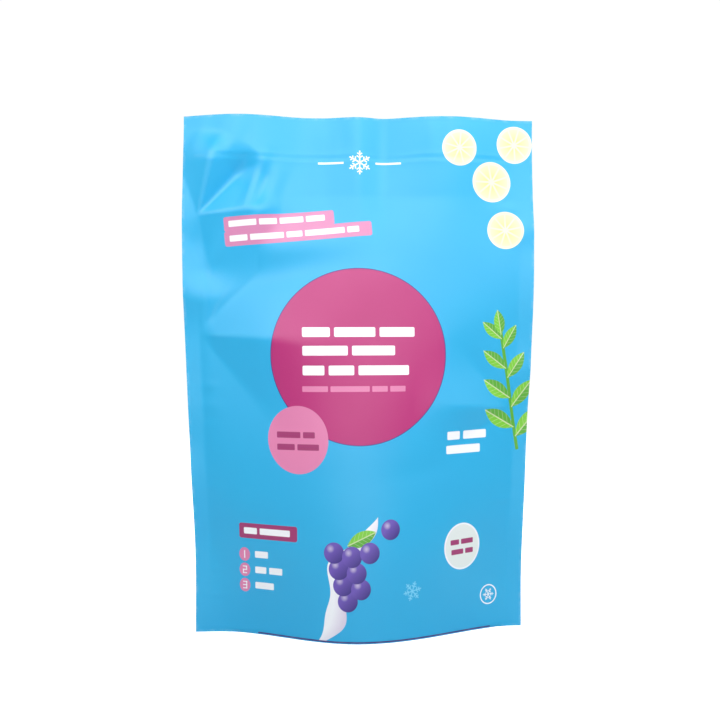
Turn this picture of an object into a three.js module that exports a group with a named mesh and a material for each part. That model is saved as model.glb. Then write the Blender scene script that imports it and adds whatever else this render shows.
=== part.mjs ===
// Stand-up pouch for frozen food: two film panels welded down both sides and across the top, with a
// folded gusset welded in between them at the bottom. Millimetres, +Z up, the front panel faces -Y,
// and the origin is under the middle of the pouch, on the surface that it stands on.
// The pouch is shut and full, so it is one solid: its skin is a row of upright sections from the left
// edge to the right. Each section is a closed loop, down the front panel, over the bottom rim, across
// the gusset and up the back panel.
import * as THREE from "three";

// Film and seals
const FILM_WIDTH = 180;
const BAG_HEIGHT = 261.5;
const SIDE_SEAL = 7.5;
const SEAL_FADE = 9; // width over which ribs and folds die out beside a side seal
const TOP_SEAL = 9;
const SEAL_THICKNESS = 0.7;
const SKIRT_THICKNESS = 0.8;

// Fill: half the pouch's depth is the base's half depth, thinning upwards to nothing at the fill height
const BASE_HALF_DEPTH = 28.9;
const FILL_HEIGHT = 222;
const FILL_POWER = 1.3;
const BELLY_BULGE = 1.1;
const BELLY_HEIGHT = 42;
const SLACK_DEPTH = 1.7;
const SLACK_HEIGHT = 200;
const SLACK_REACH = 50;

// Plan outline: 1 is a cosine, which leaves the seal flat, and 0 is a parabola, which leaves it at an angle
const LEFT_BASE_SOFTNESS = 1;
const RIGHT_BASE_SOFTNESS = 0.6;
const BODY_SOFTNESS = 0.35;
const BASE_OUTLINE_HEIGHT = 70;
const ARC_SHRINK = 2.6;

// Head: above the fill both panels wave together, in crests that stand towards the front
const HEAD_CRESTS = [
  { x: -61, depth: 5.8, halfWidth: 36 },
  { x: -2, depth: 2.7, halfWidth: 17 },
  { x: 44, depth: 6.1, halfWidth: 37 },
];
const HEAD_SETBACK = 2;
const HEAD_START = 175;
const HEAD_SHRINK = 2.4;
const CREST_LIFT = 0.15;

// Press-to-close strip, felt through the film as a low rib
const ZIP_HEIGHT = 241.5;
const ZIP_BAND = 4.6;
const ZIP_RELIEF = 0.5;

// Side seals wander a little out of the pouch's middle plane
const SEAM_WANDER = 1.4;
const SEAM_PITCH = 118;

// Gusset: welded to the panels above the rim, hanging to the floor in the middle and tucked up at the ends
const GUSSET_SEAM = 3.6;
const GUSSET_REST = 40; // the gusset lies on the floor this far to both sides of the middle
const GUSSET_REST_SHARE = 0.4; // and over this share of the depth between the skirts
const GUSSET_TUCK = 11;
const GUSSET_TUCK_AT = 68;
const GUSSET_MIN_GAP = 2.4;

// Grid
const SEAL_STEPS = 2;
const BODY_STEPS = 36;
const ROW_STEPS = 36;
const GUSSET_STEPS = 10;
const END_CROWDING = 0.5;

// A fold system that spreads from one pinched point of a seal. Angles are in degrees above the
// horizontal, turned inwards from the seal. Each knot is [angle, slope], where a slope above zero
// stands out from the panel and one below zero sinks into it.
const LEFT_SHOULDER_FOLDS = {
  x: -81,
  z: 210,
  inwards: 1,
  reach: 62,
  knots: [[-78, 0], [-42, -0.07], [-2, 0.06], [50, -0.12], [74, 0.02], [100, 0]],
};
const LEFT_WAIST_FOLDS = {
  x: -80,
  z: 149,
  inwards: 1,
  reach: 74,
  knots: [[-80, 0], [-38, -0.1], [-7, 0.09], [58, -0.08], [100, 0]],
};
const RIGHT_WAIST_FOLDS = {
  x: 79,
  z: 113,
  inwards: -1,
  reach: 66,
  knots: [[-80, 0], [-30, -0.07], [16, 0.08], [64, -0.04], [100, 0]],
};
const BACK_RIGHT_FOLDS = {
  x: 80,
  z: 158,
  inwards: -1,
  reach: 70,
  knots: [[-80, 0], [-36, -0.08], [0, 0.08], [56, -0.08], [100, 0]],
};
const BACK_LEFT_FOLDS = {
  x: -79,
  z: 98,
  inwards: 1,
  reach: 64,
  knots: [[-80, 0], [-28, -0.07], [12, 0.07], [62, -0.05], [100, 0]],
};
const FRONT_FOLDS = [LEFT_WAIST_FOLDS, RIGHT_WAIST_FOLDS];
const BACK_FOLDS = [BACK_RIGHT_FOLDS, BACK_LEFT_FOLDS];
const SHARED_FOLDS = [LEFT_SHOULDER_FOLDS];
const FOLD_HOLD = 0.3; // share of the reach over which a fold keeps its full slope

const { clamp, lerp, smoothstep, radToDeg } = THREE.MathUtils;

// 1 at the middle of a band and 0 at its edges and beyond.
function bump(value, middle, halfWidth) {
  const share = (value - middle) / halfWidth;
  return Math.abs(share) < 1 ? (1 - share * share) ** 2 : 0;
}

// Half the depth of the fill at height z, along the pouch's middle line.
function fillDepth(z) {
  const share = Math.max(0, 1 - (z / FILL_HEIGHT) ** 2);
  return BASE_HALF_DEPTH * share ** FILL_POWER + BELLY_BULGE * bump(z, BELLY_HEIGHT, BELLY_HEIGHT);
}

// Distance from the left edge to the right edge at height z: film that bows outwards spans less.
function span(z) {
  return FILM_WIDTH - (ARC_SHRINK * fillDepth(z) ** 2) / FILM_WIDTH - HEAD_SHRINK * headGrowth(z) ** 2;
}

// Share of the fill's depth at u, which runs from -1 at the left seal to 1 at the right.
function outline(u, z) {
  if (Math.abs(u) >= 1) return 0;
  const baseSoftness = u < 0 ? LEFT_BASE_SOFTNESS : RIGHT_BASE_SOFTNESS;
  const softness = lerp(baseSoftness, BODY_SOFTNESS, smoothstep(z, 0, BASE_OUTLINE_HEIGHT));
  return lerp(1 - u * u, (1 + Math.cos(Math.PI * u)) / 2, softness);
}

// Growth of the head's waves with height, from 0 to 1 at the top edge.
function headGrowth(z) {
  return smoothstep(z, HEAD_START, BAG_HEIGHT);
}

// Offset of both panels from the middle plane in the head. Below zero is towards the front.
function headWave(x, z) {
  const forward = HEAD_CRESTS.reduce((sum, crest) => sum + crest.depth * bump(x, crest.x, crest.halfWidth), 0);
  return headGrowth(z) * (HEAD_SETBACK - forward);
}

// Offset of both panels near the side seals.
function seamWander(x, z) {
  const nearSeal = (Math.abs(x) / (FILM_WIDTH / 2)) ** 3;
  const phase = (2 * Math.PI * z) / SEAM_PITCH + (x < 0 ? 0 : 2);
  return SEAM_WANDER * nearSeal * Math.sin(phase) * smoothstep(z, 0, SEAM_PITCH / 2);
}

// Height of one fold system at a point of the panel.
function foldRelief(folds, x, z) {
  const across = (x - folds.x) * folds.inwards;
  const up = z - folds.z;
  const distance = Math.hypot(across, up);
  const angle = radToDeg(Math.atan2(up, across));
  const last = folds.knots.length - 1;
  if (angle <= folds.knots[0][0] || angle >= folds.knots[last][0]) return 0;
  const next = folds.knots.findIndex((knot) => knot[0] > angle);
  const [fromAngle, fromSlope] = folds.knots[next - 1];
  const [toAngle, toSlope] = folds.knots[next];
  const slope = lerp(fromSlope, toSlope, (angle - fromAngle) / (toAngle - fromAngle));
  return distance * slope * (1 - smoothstep(distance, FOLD_HOLD * folds.reach, folds.reach));
}

// Sum of several fold systems.
function foldsRelief(systems, x, z) {
  return systems.reduce((sum, folds) => sum + foldRelief(folds, x, z), 0);
}

// Depth of one panel in front of, or behind, the middle surface.
function panelDepth(x, z, folds) {
  const halfSpan = span(z) / 2;
  const u = x / (halfSpan - SIDE_SEAL);
  const inside = clamp((halfSpan - SIDE_SEAL - Math.abs(x)) / SEAL_FADE, 0, 1);
  const slack = SLACK_DEPTH * bump(z, SLACK_HEIGHT, SLACK_REACH) * outline(u, z);
  const zip = ZIP_RELIEF * bump(z, ZIP_HEIGHT, ZIP_BAND) * inside;
  const body = fillDepth(z) * outline(u, z) + slack + zip + foldsRelief(folds, x, z) * inside;
  return SEAL_THICKNESS / 2 + Math.max(0, body);
}

// Offset of the middle surface between the two panels.
function middleOffset(x, z) {
  return headWave(x, z) + seamWander(x, z) - foldsRelief(SHARED_FOLDS, x, z);
}

// Evenly numbered values from 0 to 1, crowded towards both ends.
function crowded(steps) {
  return Array.from({ length: steps + 1 }, (_, i) => {
    const even = (2 * i) / steps - 1;
    return (1 + lerp(even, Math.sin((Math.PI / 2) * even), END_CROWDING)) / 2;
  });
}

// Flat distances of the sections from the film's middle, with lines on both seals' inner edges.
function stations() {
  const half = FILM_WIDTH / 2;
  const inner = half - SIDE_SEAL;
  const seal = Array.from({ length: SEAL_STEPS }, (_, i) => -half + (SIDE_SEAL * i) / SEAL_STEPS);
  const body = crowded(BODY_STEPS).map((share) => lerp(-inner, inner, share));
  return [...seal, ...body, ...seal.map((x) => -x).reverse()];
}

// Heights of the rows from the top edge down, with rows on the top seal, the zip and the gusset's seam.
function rowHeights() {
  const zipLines = [ZIP_HEIGHT + ZIP_BAND, ZIP_HEIGHT, ZIP_HEIGHT - ZIP_BAND];
  const top = zipLines[zipLines.length - 1];
  const body = Array.from({ length: ROW_STEPS }, (_, i) => lerp(top, GUSSET_SEAM, (i + 1) / ROW_STEPS));
  return [BAG_HEIGHT, BAG_HEIGHT - TOP_SEAL / 2, BAG_HEIGHT - TOP_SEAL, ...zipLines, ...body, 0];
}

// Height of the gusset at a point between the skirts. share is -1 at the front skirt and 1 at the back.
function gussetHeight(x, share) {
  const tuck = GUSSET_TUCK * smoothstep(Math.abs(x), GUSSET_REST, GUSSET_TUCK_AT);
  return lerp(tuck, GUSSET_SEAM, smoothstep(Math.abs(share), GUSSET_REST_SHARE, 1));
}

// Column of one panel's points from the top edge down. side is -1 on the front panel and 1 on the back.
function panelColumn(flatX, heights, side) {
  return heights.map((z) => {
    const x = (flatX / FILM_WIDTH) * span(z);
    const depth = panelDepth(x, z, side < 0 ? FRONT_FOLDS : BACK_FOLDS);
    return new THREE.Vector3(x, middleOffset(x, z) + side * depth, z - CREST_LIFT * headWave(x, z));
  });
}

// One closed section, starting at the top of the front panel.
function section(flatX, heights) {
  const front = panelColumn(flatX, heights, -1);
  const back = panelColumn(flatX, heights, 1);
  const frontRim = front[front.length - 1];
  const backRim = back[back.length - 1];
  const rimDepth = backRim.y - frontRim.y;
  const open = rimDepth - 2 * SKIRT_THICKNESS > GUSSET_MIN_GAP;
  const skirt = open ? SKIRT_THICKNESS : rimDepth / (GUSSET_STEPS + 4);
  const inset = open ? 0 : skirt; // keeps the points of a closed foot apart
  const inner = [frontRim.y + skirt, backRim.y - skirt];
  const rims = inner.map((y) => new THREE.Vector3(frontRim.x, y, 0));
  const gusset = Array.from({ length: GUSSET_STEPS + 1 }, (_, i) => {
    const y = lerp(inner[0] + inset, inner[1] - inset, i / GUSSET_STEPS);
    const share = (2 * i) / GUSSET_STEPS - 1;
    return new THREE.Vector3(frontRim.x, y, open ? gussetHeight(frontRim.x, share) : 0);
  });
  return [...front, rims[0], ...gusset, rims[1], ...back.reverse()];
}

// Triangles that close the loop of an end section. They face -X, or +X where they are flipped.
function endTriangles(start, loop, rows, flipped) {
  const triangles = [];
  const add = (p, q, r) => triangles.push(...(flipped ? [p, r, q] : [p, q, r]));
  for (let j = 0; j + 2 < rows; j += 1) {
    const front = start + j;
    const back = start + loop - 1 - j;
    add(front, back, front + 1);
    add(front + 1, back, back - 1);
  }
  const lowFront = start + rows - 2;
  for (let k = rows - 1; k <= loop - rows; k += 1) add(lowFront, start + k + 1, start + k);
  return triangles;
}

// Triangles between neighbouring sections, and over the first and the last one.
function skinTriangles(sectionCount, loop, rows) {
  const triangles = [];
  for (let i = 0; i + 1 < sectionCount; i += 1) {
    for (let j = 0; j < loop; j += 1) {
      const a = i * loop + j;
      const b = i * loop + ((j + 1) % loop);
      const c = a + loop;
      const d = b + loop;
      triangles.push(a, b, c, b, d, c);
    }
  }
  const lastStart = (sectionCount - 1) * loop;
  return [...triangles, ...endTriangles(0, loop, rows, false), ...endTriangles(lastStart, loop, rows, true)];
}

// The whole skin as one closed geometry, standing on z = 0 and centred over the origin.
function pouchGeometry() {
  const heights = rowHeights();
  const sections = stations().map((x) => section(x, heights));
  const loop = sections[0].length;
  const geometry = new THREE.BufferGeometry().setFromPoints(sections.flat());
  geometry.setIndex(skinTriangles(sections.length, loop, heights.length));
  geometry.computeBoundingBox();
  const middle = geometry.boundingBox.getCenter(new THREE.Vector3());
  geometry.translate(-middle.x, -middle.y, 0);
  geometry.computeVertexNormals();
  return geometry;
}

const film = new THREE.MeshStandardMaterial({ color: 0x3fb4ea, roughness: 0.5, metalness: 0 });

const pouch = new THREE.Mesh(pouchGeometry(), film);
pouch.name = "pouch";

const bag = new THREE.Group();
bag.add(pouch);

export default bag;
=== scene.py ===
"""A full stand-up pouch of printed blue film for frozen food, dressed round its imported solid.

The pouch is made as it is in a packaging works: two printed panels of laminate, welded down both
sides and across the top, and a folded gusset welded in between them at the foot. Every panel is a
closed thin sheet worked out from one form. Lengths are in millimetres until a mesh is written.
"""
import logging
import math
from dataclasses import dataclass, field
from enum import Enum

import bpy
import numpy as np
from bpy.types import Material, Node, NodeSocket, NodeTree
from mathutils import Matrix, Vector


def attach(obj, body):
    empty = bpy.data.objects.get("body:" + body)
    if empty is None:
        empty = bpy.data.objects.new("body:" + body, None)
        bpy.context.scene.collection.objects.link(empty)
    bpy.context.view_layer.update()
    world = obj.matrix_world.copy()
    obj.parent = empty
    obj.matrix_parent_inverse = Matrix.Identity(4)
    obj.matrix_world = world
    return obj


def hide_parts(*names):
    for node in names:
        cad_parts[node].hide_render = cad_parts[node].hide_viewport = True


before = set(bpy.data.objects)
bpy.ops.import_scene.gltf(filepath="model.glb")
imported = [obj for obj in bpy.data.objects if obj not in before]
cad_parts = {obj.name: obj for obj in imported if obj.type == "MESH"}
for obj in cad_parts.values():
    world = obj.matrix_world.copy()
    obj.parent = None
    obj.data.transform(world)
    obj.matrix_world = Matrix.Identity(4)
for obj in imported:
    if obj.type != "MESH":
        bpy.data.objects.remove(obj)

Grid = np.ndarray
LOG = logging.getLogger("pouch")
METRES = 0.001
CAD_NODE = "pouch"
PRINT_MAP = "print"
BAKE_MAP = "OFBake"
BAKE_MARGIN = 0.004
RIM_COLUMNS = 4
CREASE_ATTRIBUTE = "crease"


class Side(Enum):
    """The two panels, each with the sign of its place along Y."""

    FRONT = -1
    BACK = 1


def bump(value: Grid, middle: float, half_width: float) -> Grid:
    """Soft hill over a band: (1 - s squared) squared, where s is the distance in half widths."""
    share = np.clip(np.abs(value - middle) / half_width, 0, 1)
    return (1 - share**2) ** 2


def ramp(value: Grid, low: float, high: float) -> Grid:
    """Smooth step from 0 at low to 1 at high: t squared times (3 - 2 t)."""
    t = np.clip((value - low) / (high - low), 0, 1)
    return t * t * (3 - 2 * t)


@dataclass(frozen=True)
class FoldFan:
    """Creases that spread from one pinched point of a side seal.

    Attributes:
        x: place of the pinched point across the pouch.
        z: height of the pinched point.
        inwards: 1 where the fan opens towards +X, -1 where it opens towards -X.
        reach: distance at which the folds have died out.
        knots: pairs of an angle above the horizontal, in degrees, and the film's slope along it.
        hold: share of the reach over which the folds keep their full slope.
    """

    x: float
    z: float
    inwards: int
    reach: float
    knots: tuple[tuple[float, float], ...]
    hold: float = 0.3

    def relief(self, x: Grid, z: Grid) -> Grid:
        """Distance from the pinched point, times the slope at that angle, faded out towards the reach.

        The slope runs straight between the knots, and is averaged over a few degrees, so the folds are
        flat facets with slightly round backs.

        Args:
            x: places across the pouch.
            z: heights.

        Returns:
            Heights of the film above its plain form.
        """
        across = (x - self.x) * self.inwards
        up = z - self.z
        distance = np.hypot(across, up)
        angle = np.degrees(np.arctan2(up, across))
        angles, slopes = zip(*self.knots)
        slope = np.mean([np.interp(angle + turn, angles, slopes) for turn in FACET_ROUNDING], axis=0)
        return distance * slope * (1 - ramp(distance, self.hold * self.reach, self.reach))


@dataclass(frozen=True)
class Dent:
    """One soft ridge, or a dent where its height is below zero.

    Attributes:
        x: place of its middle across the pouch.
        z: height of its middle.
        length: half length.
        width: half width.
        turn: angle of its long axis above the horizontal, in degrees.
        height: how far it stands out of the panel.
    """

    x: float
    z: float
    length: float
    width: float
    turn: float
    height: float

    def relief(self, x: Grid, z: Grid) -> Grid:
        """Height times e to the power of minus (a / length) squared minus (b / width) squared.

        Args:
            x: places across the pouch.
            z: heights.

        Returns:
            Heights of the film above its plain form.
        """
        angle = math.radians(self.turn)
        along = (x - self.x) * math.cos(angle) + (z - self.z) * math.sin(angle)
        beside = (z - self.z) * math.cos(angle) - (x - self.x) * math.sin(angle)
        return self.height * np.exp(-((along / self.length) ** 2) - (beside / self.width) ** 2)


SHOULDER_FANS = (
    FoldFan(-82, 212, 1, 44, ((-110, 0), (-80, -0.1), (6, 0.2), (46, -0.22), (76, 0.2), (110, 0)), 0.6),
)
FRONT_FANS = (
    FoldFan(-81.5, 151.5, 1, 86, ((-80, 0), (-48, -0.03), (-3, 0.17), (58, -0.15), (80, 0), (110, 0)), 0.3),
    FoldFan(77, 114, -1, 52, ((-75, 0), (-32, -0.03), (2, 0.13), (50, -0.07), (80, 0)), 0.35),
)
BACK_FANS = (
    FoldFan(80, 158, -1, 70, ((-80, 0), (-36, -0.03), (0, 0.2), (56, -0.06), (100, 0))),
    FoldFan(-79, 98, 1, 64, ((-80, 0), (-28, -0.02), (12, 0.18), (62, -0.05), (100, 0))),
)
FACET_ROUNDING = (-3, -1, 1, 3)
PLEAT_TURN = 70
SEAM_DENTS = (
    Dent(-85, 174, 12, 12, 100, 2.6),
    Dent(-86, 199, 9, 10, 90, -1),
    Dent(86, 132, 12, 10, 90, 1.6),
    Dent(86, 206, 8, 10, 90, 1.2),
    Dent(-86, 96, 12, 9, 90, -1.2),
)
HEAD_DENTS = (
    Dent(-55, 225, 12, 3, PLEAT_TURN, 1.2),
    Dent(-49, 226, 12, 3, PLEAT_TURN, -1.2),
    Dent(-37.5, 227, 8, 3.4, PLEAT_TURN, -0.35),
    Dent(-82, 250, 9, 2.8, 70, 0.35),
    Dent(-74, 251, 9, 3, 70, -0.4),
    Dent(-64, 251, 9, 3, 74, 0.3),
    Dent(-57, 251, 8, 3, 76, -0.3),
    Dent(-19, 252, 11, 3.6, 90, 0.25),
    Dent(-9, 252, 11, 3.2, 90, -0.25),
    Dent(-1, 241, 26, 5, 90, 0.9),
    Dent(11, 241, 24, 5, 90, -0.6),
    Dent(35, 252, 11, 3.4, 92, 0.25),
    Dent(41.5, 252, 11, 3.2, 92, -0.3),
    Dent(66, 250, 12, 4, 96, 0.25),
)
SHARED_FOLDS = SHOULDER_FANS + SEAM_DENTS + HEAD_DENTS
FRONT_DENTS = (
    Dent(-38, 197, 32, 7.5, 10, 1.4),
    Dent(-36, 182, 32, 7.5, 10, -1.3),
    Dent(-78.5, 126, 6, 2.4, 2, 0.3),
    Dent(-78.5, 115.5, 6, 2.6, 2, 0.3),
    Dent(-78, 109, 6, 2, 0, -0.2),
    Dent(-77, 74, 6, 2, 4, 0.2),
    Dent(-76, 32.5, 5, 1.4, 0, 0.25),
    Dent(-75.5, 19, 6, 1.4, 0, 0.3),
    Dent(78, 216, 9, 3, 4, 0.4),
    Dent(77, 208.5, 8, 3, 8, -0.4),
    Dent(31, 84, 17, 6, 10, -0.4),
    Dent(78, 93, 5, 2, 0, 0.25),
    Dent(78, 81, 5, 2, 0, -0.25),
    Dent(76, 66.5, 7, 1.6, 0, 0.35),
)
BACK_DENTS = (
    Dent(76, 236, 6, 2.4, -30, 0.5),
    Dent(-76, 227, 6, 2.2, 24, -0.5),
    Dent(74, 96, 6, 1.5, -4, 0.32),
    Dent(75, 84, 5, 1.3, 2, 0.28),
    Dent(-74, 61, 6, 1.5, 5, 0.32),
    Dent(-12, 204, 4, 16, 4, 0.45),
    Dent(24, 70, 24, 9, 16, 0.4),
)
OWN_FOLDS = {Side.FRONT: (FRONT_FANS, FRONT_DENTS), Side.BACK: (BACK_FANS, BACK_DENTS)}


@dataclass
class PouchForm:
    """The pouch's shape: a flat welded head over a filled belly on an oval foot.

    A panel's point lies at x, which is its flat place drawn in by the film's bow, and at a depth in
    front of or behind the middle surface. The depth is the fill's depth at that height times the
    share of the plan outline at x, plus the low relief of the strip, the folds and the dents.
    """

    film_width: float = 180
    height: float = 261.5
    side_seal: float = 7.5
    seal_fade: float = 9
    seal_thickness: float = 0.7
    base_half_depth: float = 28.9
    fill_height: float = 222
    fill_power: float = 1.3
    belly_bulge: float = 1.1
    belly_height: float = 42
    slack_depth: float = 1.7
    slack_height: float = 200
    slack_reach: float = 50
    left_base_softness: float = 1
    right_base_softness: float = 0.6
    body_softness: float = 0.35
    base_outline_height: float = 70
    arc_shrink: float = 2.6
    head_crests: tuple[tuple[float, float, float], ...] = ((-61, 5.8, 36), (-2, 2.7, 17), (44, 6.1, 37))
    head_setback: float = 2
    head_start: float = 175
    head_shrink: float = 2.4
    crest_lift: float = 0.15
    seam_wander: float = 1.4
    seam_pitch: float = 118
    strip_height: float = 241
    strip_band: float = 4.6
    strip_relief: float = 0.12
    strip_line: float = 0.34
    strip_line_width: float = 1
    strip_crush: float = 0.9
    strip_crush_x: float = 82
    strip_crush_length: float = 5
    ply_thickness: float = 0.3
    sway_height: float = 0.13
    sway_waves: tuple[tuple[float, ...], ...] = (
        (1, 11.3, 23, 1.7),
        (1, 17, -14.5, 3.4),
        (0.5, 7.9, 31, -1.7),
    )

    def fill_depth(self, z: Grid) -> Grid:
        """Half depth of the fill: base half depth times (1 - (z / fill height) squared) to a power."""
        plain = self.base_half_depth * np.clip(1 - (z / self.fill_height) ** 2, 0, 1) ** self.fill_power
        return plain + self.belly_bulge * bump(z, self.belly_height, self.belly_height)

    def head_growth(self, z: Grid) -> Grid:
        """Growth of the head's waves, from 0 to 1 at the top edge."""
        return ramp(z, self.head_start, self.height)

    def span(self, z: Grid) -> Grid:
        """Film width less the arc shrink times the depth squared over the width, less the head's shrink."""
        bow = self.arc_shrink * self.fill_depth(z) ** 2 / self.film_width
        return self.film_width - bow - self.head_shrink * self.head_growth(z) ** 2

    def outline(self, u: Grid, z: Grid) -> Grid:
        """Share of the depth at u: between a parabola and a cosine hill, by the softness at that height.

        Args:
            u: places from -1 at the left seal to 1 at the right seal.
            z: heights.

        Returns:
            1 on the middle line and 0 at the seals.
        """
        base = np.where(u < 0, self.left_base_softness, self.right_base_softness)
        softness = base + (self.body_softness - base) * ramp(z, 0, self.base_outline_height)
        parabola = 1 - u**2
        hill = (1 + np.cos(np.pi * u)) / 2
        return np.where(np.abs(u) < 1, parabola + (hill - parabola) * softness, 0)

    def head_wave(self, x: Grid, z: Grid) -> Grid:
        """Offset along Y of both panels in the head: the setback less the crests, times their growth."""
        forward = sum(depth * bump(x, middle, half) for middle, depth, half in self.head_crests)
        return self.head_growth(z) * (self.head_setback - forward)

    def middle(self, x: Grid, z: Grid) -> Grid:
        """Middle surface: the head's wave, the seals' slow sine and the folds that both panels share.

        Args:
            x: places across the pouch.
            z: heights.

        Returns:
            Offsets along Y.
        """
        near_seal = (np.abs(x) / (self.film_width / 2)) ** 3
        phase = 2 * np.pi * z / self.seam_pitch + np.where(x < 0, 0, 2)
        wander = self.seam_wander * near_seal * np.sin(phase) * ramp(z, 0, self.seam_pitch / 2)
        folds = sum(fold.relief(x, z) for fold in SHARED_FOLDS)
        return self.head_wave(x, z) + wander - folds

    def strip(self, x: Grid, z: Grid) -> Grid:
        """Press-to-close strip: a low rib, a pressed line along its middle and two crushed ends.

        Args:
            x: places across the pouch.
            z: heights.

        Returns:
            Heights of the film above its plain form.
        """
        rib = self.strip_relief * bump(z, self.strip_height, self.strip_band)
        line = self.strip_line * bump(z, self.strip_height, self.strip_line_width)
        ends = bump(np.abs(x), self.strip_crush_x, self.strip_crush_length)
        crush = self.strip_crush * ends * bump(z, self.strip_height, 2 * self.strip_line_width)
        return rib - line - crush

    def sway(self, x: Grid, z: Grid, side: Side) -> Grid:
        """Slow unevenness of loosely filled film: crossed sines, which are shifted on either side."""
        waves = [size * np.sin(x / a + z / b + shift * side.value) for size, a, b, shift in self.sway_waves]
        return self.sway_height * sum(waves)

    def relief(self, x: Grid, z: Grid, side: Side) -> Grid:
        """Low relief of one panel: folds, dents, the strip and the sway, faded out over the seals.

        Args:
            x: places across the pouch.
            z: heights.
            side: the panel.

        Returns:
            Heights of the film above its plain form.
        """
        half = self.span(z) / 2
        inside = ramp(half - self.side_seal - np.abs(x), 0, self.seal_fade)
        fans, dents = OWN_FOLDS[side]
        folds = sum(fan.relief(x, z) for fan in fans)
        pressed = sum(dent.relief(x, z) for dent in dents)
        near = ramp(half - np.abs(x), 0, self.side_seal + self.seal_fade)
        return (folds + self.sway(x, z, side)) * inside + (pressed + self.strip(x, z)) * near

    def panel(self, flat: Grid, z: Grid, side: Side, sunk: float = 0) -> Grid:
        """Points of one panel: x is flat times span over width, y the middle plus or minus the depth.

        Args:
            flat: flat places across the film.
            z: heights.
            side: the panel.
            sunk: distance below the panel's outer face.

        Returns:
            Points in millimetres, with X, Y and Z along the last axis.
        """
        x = flat / self.film_width * self.span(z)
        u = x / (self.span(z) / 2 - self.side_seal)
        slack = self.slack_depth * bump(z, self.slack_height, self.slack_reach)
        body = (self.fill_depth(z) + slack) * self.outline(u, z) + self.relief(x, z, side)
        depth = self.seal_thickness / 2 + np.maximum(body, 0) - sunk
        y = self.middle(x, z) + side.value * depth
        lifted = z - self.crest_lift * self.head_wave(x, z)
        return np.stack([x, y, lifted], axis=-1)

    def creasing(self, flat: Grid, z: Grid, side: Side) -> Grid:
        """How hard the film is bent: the size of the relief's second differences, from 0 to 1.

        Args:
            flat: flat places across the film, as a grid.
            z: heights, as a grid.
            side: the panel.

        Returns:
            0 on smooth film and 1 on the sharpest creases.
        """
        x = flat / self.film_width * self.span(z)
        height = self.relief(x, z, side) - side.value * self.middle(x, z)
        down = np.gradient(np.gradient(height, axis=0), axis=0)
        across = np.gradient(np.gradient(height, axis=1), axis=1)
        bend = np.hypot(down, across)
        return np.clip(bend / np.percentile(bend, 99.5), 0, 1)


def sheet_faces(rows: int, columns: int, flipped: bool) -> Grid:
    """Quads of a closed thin sheet: its outer grid, its inner grid turned over, and a rim round both.

    Args:
        rows: rows of each grid.
        columns: columns of each grid.
        flipped: True where the outer grid, read down and then right, would face inwards.

    Returns:
        Vertex numbers, four to a face. The rim's faces come last.
    """
    number = np.arange(rows * columns).reshape(rows, columns)
    outer = np.stack([number[:-1, :-1], number[1:, :-1], number[1:, 1:], number[:-1, 1:]], axis=-1)
    outer = outer.reshape(-1, 4)
    inner = outer[:, ::-1] + rows * columns
    border = np.concatenate([number[:, 0], number[-1, 1:], number[-2::-1, -1], number[0, -2:0:-1]])
    following = np.roll(border, -1)
    back = rows * columns
    rim = np.stack([border, border + back, following + back, following], axis=-1)
    faces = np.concatenate([outer, inner, rim])
    return faces[:, ::-1] if flipped else faces


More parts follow.
